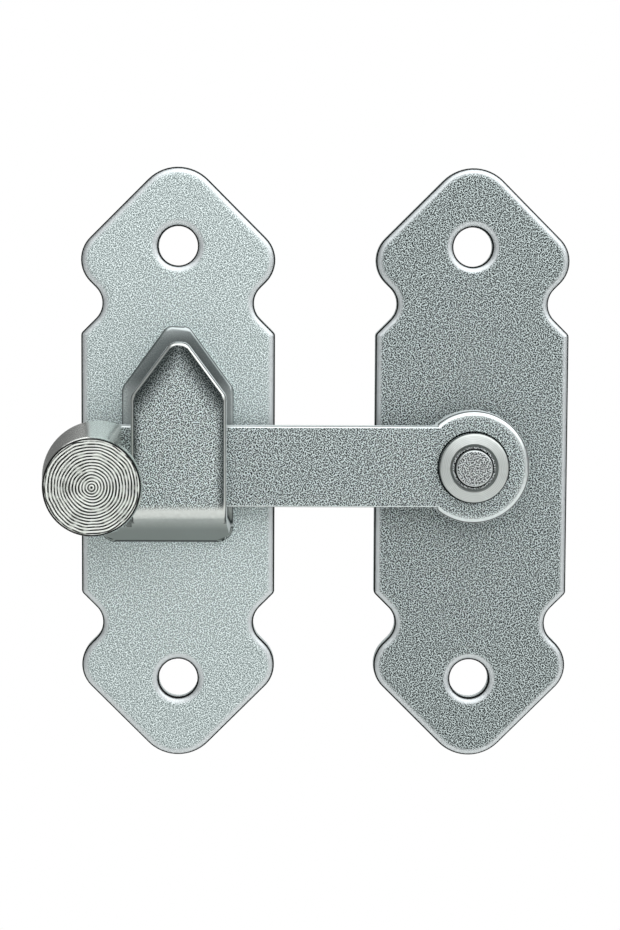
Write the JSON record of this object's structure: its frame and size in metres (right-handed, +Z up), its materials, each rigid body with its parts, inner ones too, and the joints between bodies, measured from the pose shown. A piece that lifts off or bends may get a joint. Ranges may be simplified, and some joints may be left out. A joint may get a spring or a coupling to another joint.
{
  "type": "gate latch",
  "caption": "Surface-mounted gate latch: a flat bar swings on a riveted pivot plate and drops into a hooked catch on a matching keeper plate, lifted by a turned knob.",
  "frame": {"origin": "where the pivot axis meets the mounting plane at the back of the pivot plate", "axes": "+X to the right as the latch is seen, +Y into the wall, +Z up; the bar lies shut along -X"},
  "size_m": [0.0802, 0.024, 0.0906],
  "materials": {
    "satin_plate": "satin zinc, finely blasted",
    "satin_plate_shaded": "satin zinc, finely blasted, a little darker",
    "cast_catch": "satin zinc, blasted face and smooth sides",
    "satin_bar": "satin zinc, finely blasted",
    "washer": "bright zinc",
    "rivet": "satin zinc",
    "turned_knob": "lathe-turned, ring grooves on the face"
  },
  "bodies": {
    "plates": {"keeper_plate": "satin_plate", "catch": "cast_catch", "pivot_plate": "satin_plate_shaded", "pivot_pin": "rivet", "spacer_washer": "washer", "retaining_washer": "washer"},
    "bar": {"latch_bar": "satin_bar", "knob": "turned_knob"}
  },
  "joints": [
    {"name": "bar_swing", "type": "hinge", "parent": "plates", "child": "bar", "pos_m": [0, 0, 0], "axis": [0, 1, 0], "range_deg": [0, 332]}
  ]
}
